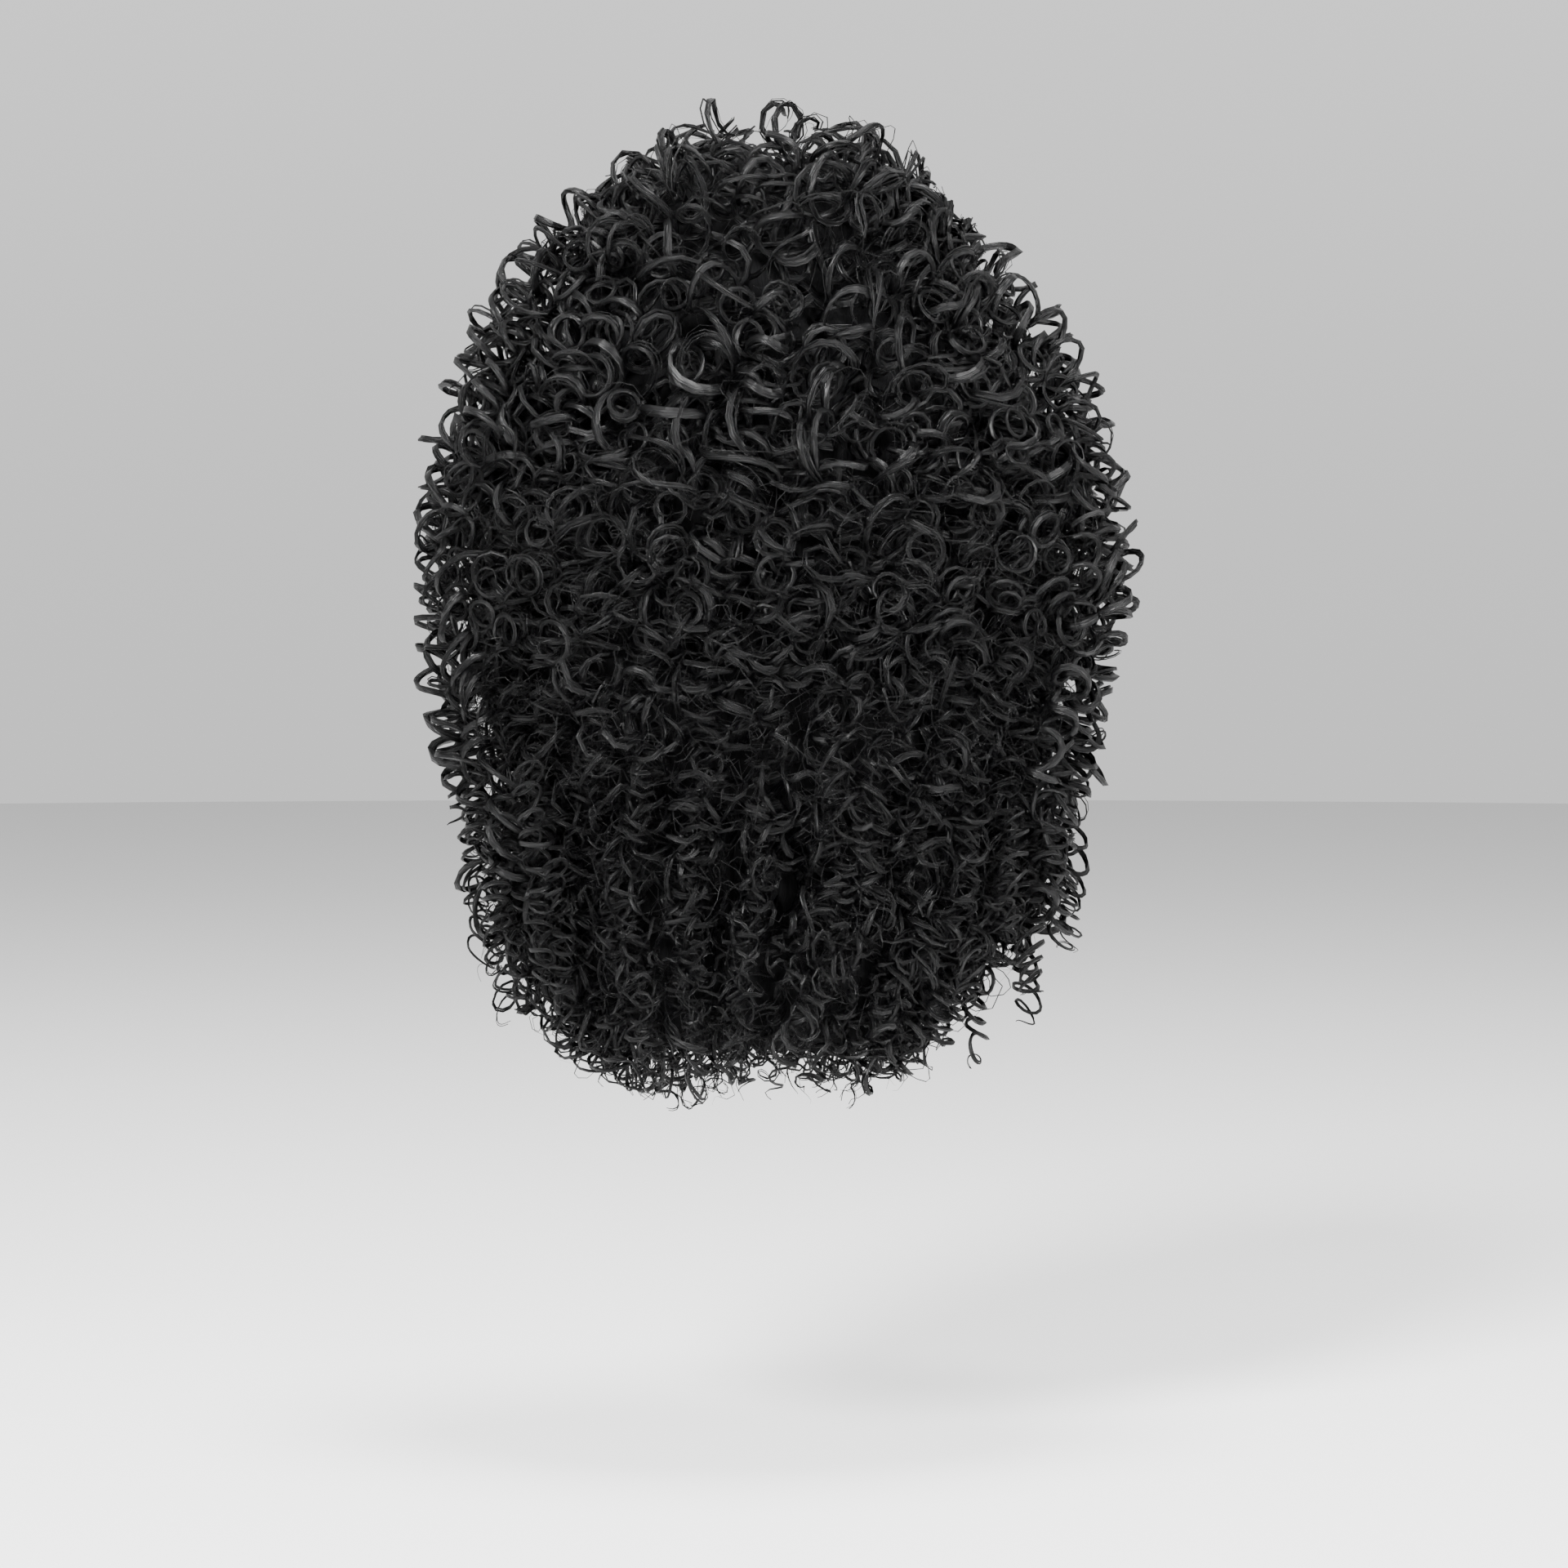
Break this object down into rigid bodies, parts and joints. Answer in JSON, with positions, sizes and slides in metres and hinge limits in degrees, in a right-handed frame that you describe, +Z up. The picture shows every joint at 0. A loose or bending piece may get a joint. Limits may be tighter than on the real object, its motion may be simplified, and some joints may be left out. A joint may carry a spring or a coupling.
{
  "type": "drawstring ponytail hairpiece",
  "caption": "Curly drawstring ponytail: a mass of coiled curls on a domed net cap with a drawstring hem and two combs, hollow towards the head.",
  "frame": {"origin": "centre of the cap's rim, the ring that sits on the back of the crown and is drawn tight round a bun", "axes": "+Z up as worn, +Y the way the wearer faces, +X the wearer's right as seen from behind on the right of the picture"},
  "size_m": [0.2573, 0.1471, 0.3596],
  "materials": {
    "net": "matt black stretch net",
    "weft": "matt black stitched weft",
    "hem": "matt black folded tape",
    "comb": "smooth black plastic",
    "hair": "satin jet-black synthetic fibre"
  },
  "bodies": {
    "root": {"net_cap": "net", "weft_strip": "weft", "hem_casing": "hem", "comb_upper": "comb", "comb_lower": "comb", "curls": "hair"}
  },
  "joints": []
}
